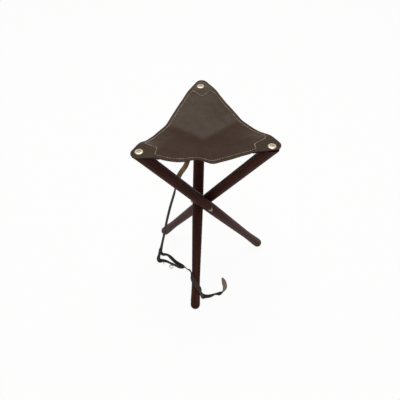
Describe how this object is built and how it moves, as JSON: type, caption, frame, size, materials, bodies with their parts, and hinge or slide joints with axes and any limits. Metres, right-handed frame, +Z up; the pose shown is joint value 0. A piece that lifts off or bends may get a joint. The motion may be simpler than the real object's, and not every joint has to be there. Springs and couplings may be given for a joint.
{
  "type": "folding three-legged stool",
  "caption": "Folding camp stool: crossed turned wooden legs on a three-way bolt, a leather sling seat screwed to the leg tops, and a leather carrying strap.",
  "frame": {"origin": "on the floor under the middle of the open stool's frame and seat", "axes": "+Z up, -Y towards the viewer of the picture, +X to the viewer's right"},
  "size_m": [0.3566, 0.383, 0.5225],
  "materials": {
    "stained_wood": "dark stain, satin",
    "seat_leather": "oiled grain",
    "patch_leather": "flesh side",
    "strap_leather": "dark grain",
    "plated_steel": "nickel plated",
    "dark_steel": "blackened"
  },
  "bodies": {
    "hub": {"three_way_bolt": "plated_steel", "inner_washer_front": "plated_steel", "inner_washer_left": "plated_steel", "inner_washer_right": "plated_steel", "outer_washer_front": "plated_steel", "outer_washer_left": "plated_steel", "outer_washer_right": "plated_steel", "dome_nut_front": "plated_steel", "dome_nut_left": "plated_steel", "dome_nut_right": "plated_steel", "seat_panel": "seat_leather", "carry_strap": "strap_leather", "closing_strap": "strap_leather", "strap_ring": "plated_steel", "ring_tab": "strap_leather", "strap_hook": "plated_steel"},
    "front_leg": {"front_leg": "stained_wood", "corner_patch_back": "patch_leather", "finishing_washer_back": "plated_steel", "seat_screw_back": "dark_steel"},
    "left_leg": {"left_leg": "stained_wood", "corner_patch_right": "patch_leather", "finishing_washer_right": "plated_steel", "seat_screw_right": "dark_steel"},
    "right_leg": {"right_leg": "stained_wood", "corner_patch_left": "patch_leather", "finishing_washer_left": "plated_steel", "seat_screw_left": "dark_steel"}
  },
  "joints": [
    {"name": "front_leg_fold", "type": "hinge", "parent": "hub", "child": "front_leg", "pos_m": [-0.00218, -0.00813, 0.26121], "axis": [0.9935, -0.1138, 0], "range_deg": [0, 34.9], "deforming": ["seat_panel", "corner_patch_back", "carry_strap"]},
    {"name": "left_leg_fold", "type": "hinge", "parent": "hub", "child": "left_leg", "pos_m": [-0.00218, -0.00813, 0.26121], "axis": [-0.5953, -0.8035, 0], "range_deg": [0, 34.9], "deforming": ["seat_panel", "corner_patch_right"]},
    {"name": "right_leg_fold", "type": "hinge", "parent": "hub", "child": "right_leg", "pos_m": [-0.00218, -0.00813, 0.26121], "axis": [-0.3982, 0.9173, 0], "range_deg": [0, 34.9], "deforming": ["seat_panel", "corner_patch_left"]}
  ],
  "couplings": [
    {"joint": "left_leg_fold", "follows": "front_leg_fold", "ratio": 1},
    {"joint": "right_leg_fold", "follows": "front_leg_fold", "ratio": 1}
  ]
}
